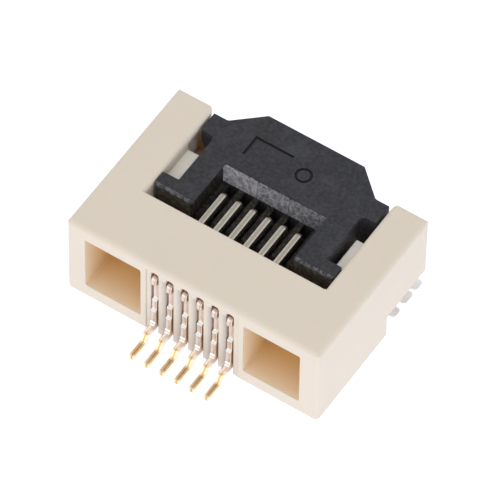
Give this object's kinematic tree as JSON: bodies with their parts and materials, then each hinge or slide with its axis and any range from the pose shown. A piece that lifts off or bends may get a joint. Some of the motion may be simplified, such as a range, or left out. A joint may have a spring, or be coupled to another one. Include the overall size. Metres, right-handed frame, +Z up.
{
  "type": "flat cable connector",
  "caption": "Right-angle surface-mount connector for a flat flexible cable: ivory housing, a row of forked spring contacts, two solder tabs and a black locking slider, open.",
  "frame": {"origin": "on the board plane, in the middle of the underside: 5 mm behind the housing's front face and midway between its sides", "axes": "+X along the row of contacts, +Y towards the side where the cable goes in, +Z up from the board"},
  "size_m": [0.0168, 0.0147, 0.006],
  "materials": {
    "housing_plastic": "matt moulded",
    "slider_plastic": "matt moulded, fine spark texture",
    "contact_metal": "nickel plated, gold on the tails",
    "tab_metal": "tin plated"
  },
  "bodies": {
    "housing": {"housing": "housing_plastic", "solder_tab_left": "tab_metal", "solder_tab_right": "tab_metal", "contact_1": "contact_metal", "contact_2": "contact_metal", "contact_3": "contact_metal", "contact_4": "contact_metal", "contact_5": "contact_metal", "contact_6": "contact_metal"},
    "slider": {"slider": "slider_plastic"}
  },
  "joints": [
    {"name": "slider_slide", "type": "slide", "parent": "housing", "child": "slider", "axis": [0, -1, 0], "range_m": [0, 0.0008]}
  ]
}
